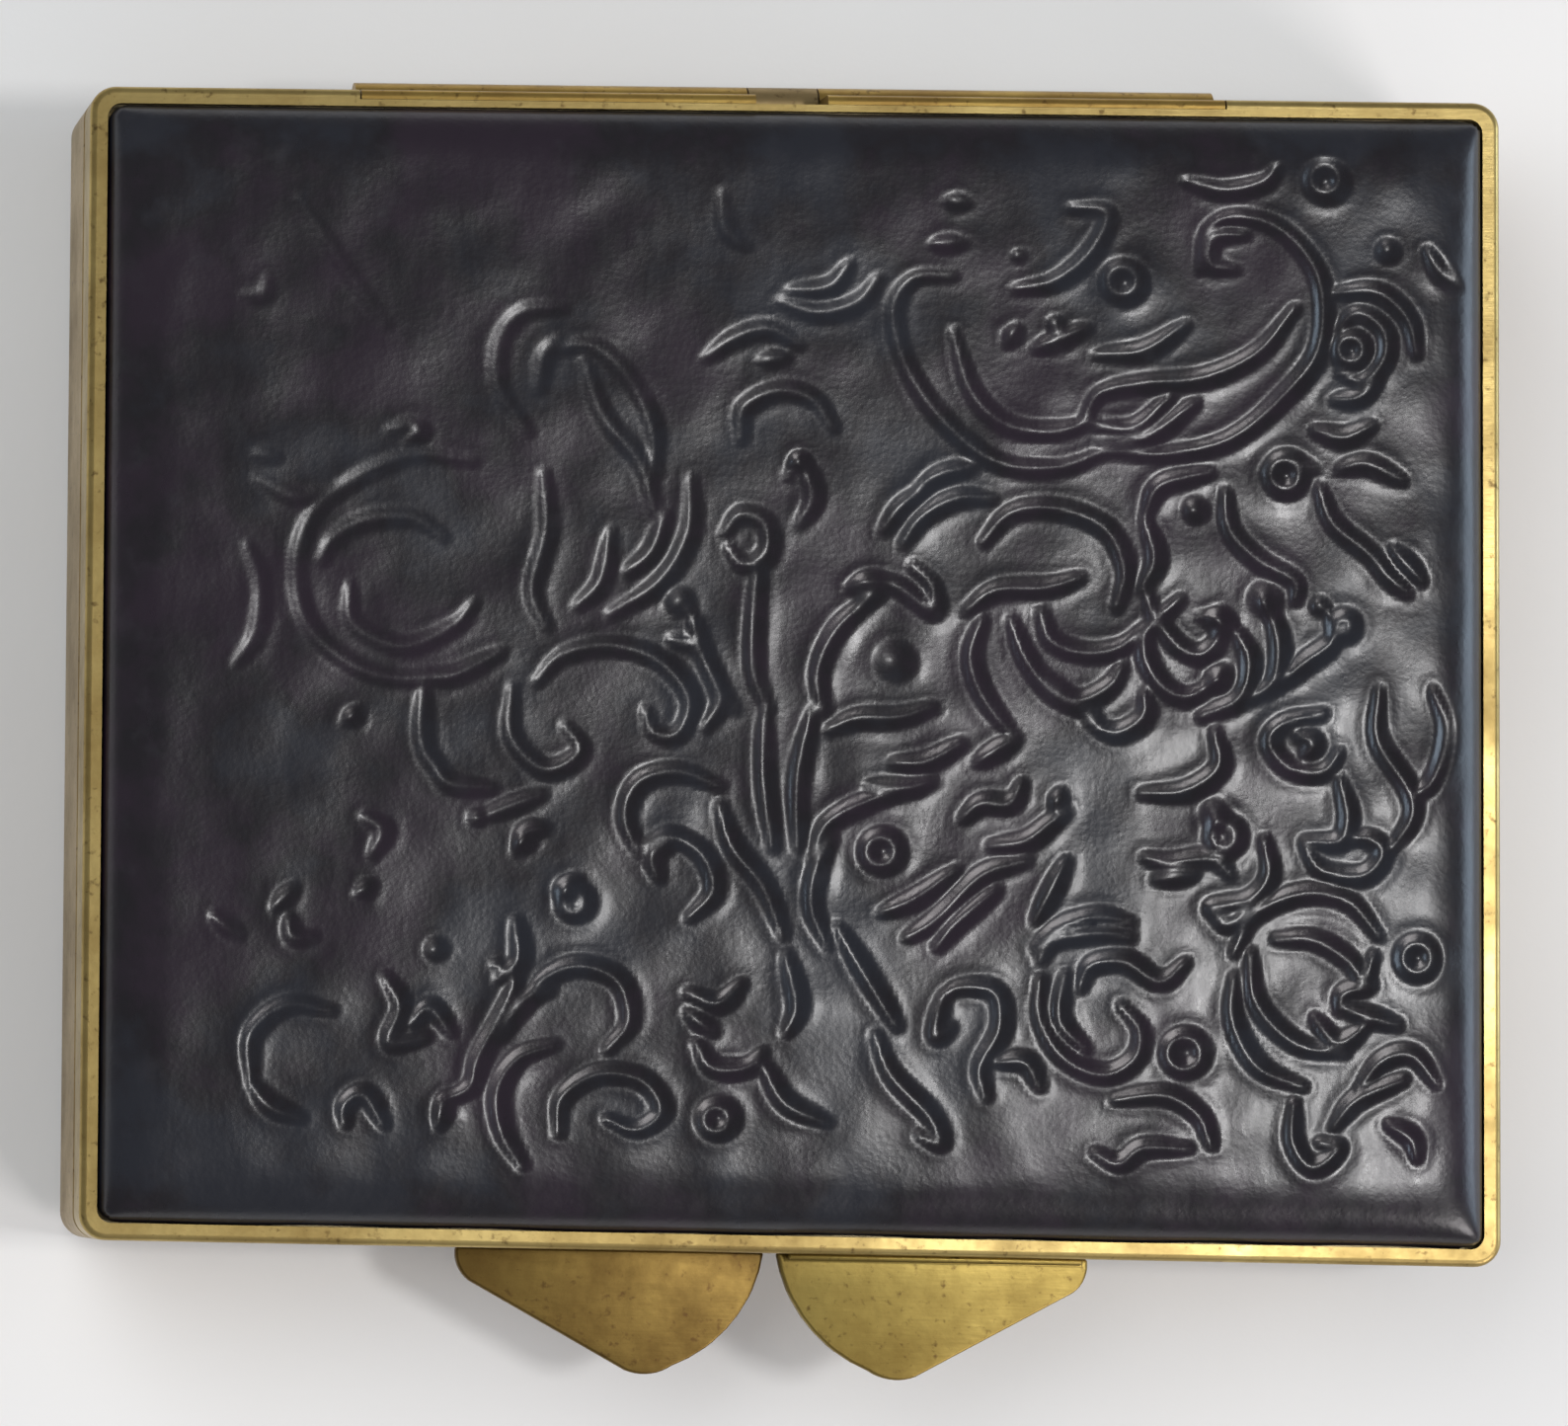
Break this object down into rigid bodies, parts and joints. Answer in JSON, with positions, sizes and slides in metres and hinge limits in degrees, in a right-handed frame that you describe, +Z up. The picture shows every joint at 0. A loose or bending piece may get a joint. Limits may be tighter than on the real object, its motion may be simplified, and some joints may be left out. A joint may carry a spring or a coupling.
{
  "type": "vanity trinket box",
  "caption": "Slim rectangular hinged vanity box with embossed leather lid and base in a thin brass frame, thumb tabs at the front, mirror and lined tray inside",
  "frame": {"origin": "centre of the flat underside of the base", "axes": "+X along the width, +Y to the hinge at the back, +Z up"},
  "size_m": [0.08, 0.0742, 0.0153],
  "materials": {
    "brass": "aged, satin",
    "leather": "embossed, polished",
    "wadding": "soft",
    "plate": "dull",
    "card": "matt",
    "mirror": "silvered glass",
    "velvet": "short pile",
    "steel": "satin"
  },
  "bodies": {
    "base": {"base_frame": "brass", "base_leather": "leather", "base_padding": "wadding", "base_core_plate": "plate", "tray_collar": "brass", "tray_floor_board": "card", "floor_lining": "velvet", "wall_lining": "velvet", "base_hinge_knuckle": "brass", "hinge_pin": "steel", "base_thumb_tab": "brass", "catch_spring": "steel", "catch_rivets": "brass"},
    "lid": {"lid_frame": "brass", "lid_leather": "leather", "lid_padding": "wadding", "lid_core_plate": "plate", "lid_backing_board": "card", "lid_mirror": "mirror", "mirror_frame": "brass", "lid_hinge_knuckle_left": "brass", "lid_hinge_knuckle_right": "brass", "lid_thumb_tab": "brass", "lid_catch_hook": "brass"}
  },
  "joints": [
    {"name": "lid_hinge", "type": "hinge", "parent": "base", "child": "lid", "pos_m": [0, 0.03295, 0.00925], "axis": [-1, 0, 0], "range_deg": [0, 110]}
  ]
}
